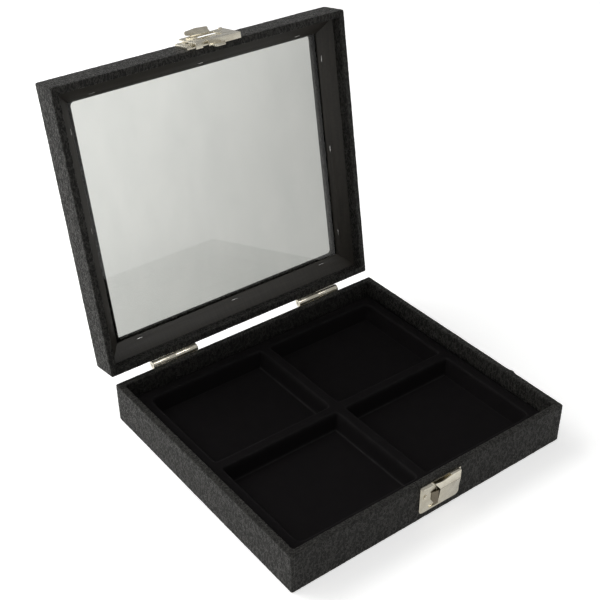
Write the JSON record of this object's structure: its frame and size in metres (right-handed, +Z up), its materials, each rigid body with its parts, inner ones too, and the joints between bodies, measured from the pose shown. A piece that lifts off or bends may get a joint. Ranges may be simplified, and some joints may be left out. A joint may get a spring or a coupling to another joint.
{
  "type": "hinged glass-top collection case",
  "caption": "Shallow black leatherette case with a hinged glass lid, a sliding nickel catch and a flocked insert of open compartments.",
  "frame": {"origin": "centre of the base's underside", "axes": "+X to the right seen from the catch side, -Y towards the catch, +Y towards the hinges, +Z up"},
  "size_m": [0.21, 0.2446, 0.2202],
  "materials": {
    "board": "bare light timber board, hidden under the covering",
    "leatherette": "black crepe-grain leatherette paper, semi-matte",
    "lining_paper": "black lining paper",
    "flocked_plastic": "black flocked vacuum-formed sheet",
    "clear_glass": "clear picture glass, polished",
    "stained_bead": "dark smooth stained strip, satin",
    "staple_wire": "bright galvanised wire",
    "nickel": "warm nickel plate, satin",
    "pin_steel": "plated steel wire",
    "spring_steel": "plain spring steel"
  },
  "bodies": {
    "base": {"base_front_board": "board", "base_back_board": "board", "base_left_board": "board", "base_right_board": "board", "base_bottom_panel": "board", "base_wrap": "leatherette", "base_underside_sheet": "leatherette", "base_floor_paper": "lining_paper", "hinge_base_leaf_left": "nickel", "hinge_base_leaf_right": "nickel", "hinge_pin_left": "pin_steel", "hinge_pin_right": "pin_steel", "hinge_base_nails": "nickel", "keeper_back_plate": "nickel", "keeper_cover": "nickel", "keeper_spring_leaf": "spring_steel", "keeper_nail": "nickel"},
    "lid": {"lid_front_board": "board", "lid_back_board": "board", "lid_left_board": "board", "lid_right_board": "board", "lid_front_lip": "board", "lid_back_lip": "board", "lid_left_lip": "board", "lid_right_lip": "board", "lid_wrap": "leatherette", "glass_pane": "clear_glass", "glazing_bead_front": "stained_bead", "glazing_bead_back": "stained_bead", "glazing_bead_left": "stained_bead", "glazing_bead_right": "stained_bead", "bead_staples": "staple_wire", "hinge_lid_leaf_left": "nickel", "hinge_lid_leaf_right": "nickel", "hinge_lid_nails": "nickel", "catch_mounting_plate": "nickel", "catch_mounting_nails": "nickel", "catch_spring": "spring_steel"},
    "slide": {"catch_slide": "nickel", "catch_slide_rivets": "nickel"},
    "tray": {"compartment_tray": "flocked_plastic"}
  },
  "joints": [
    {"name": "lid_hinge", "type": "hinge", "parent": "base", "child": "lid", "pos_m": [0, 0.0961, 0.02845], "axis": [1, 0, 0], "range_deg": [0, 99.5]},
    {"name": "catch_slide", "type": "slide", "parent": "lid", "child": "slide", "axis": [-1, 0, 0], "range_m": [0, 0.005], "stiffness_N_per_m": 200, "springref_m": -0.004, "deforming": ["catch_spring"]},
    {"name": "tray_lift", "type": "slide", "parent": "base", "child": "tray", "axis": [0, 0, 1], "range_m": [0, 0.015]}
  ]
}
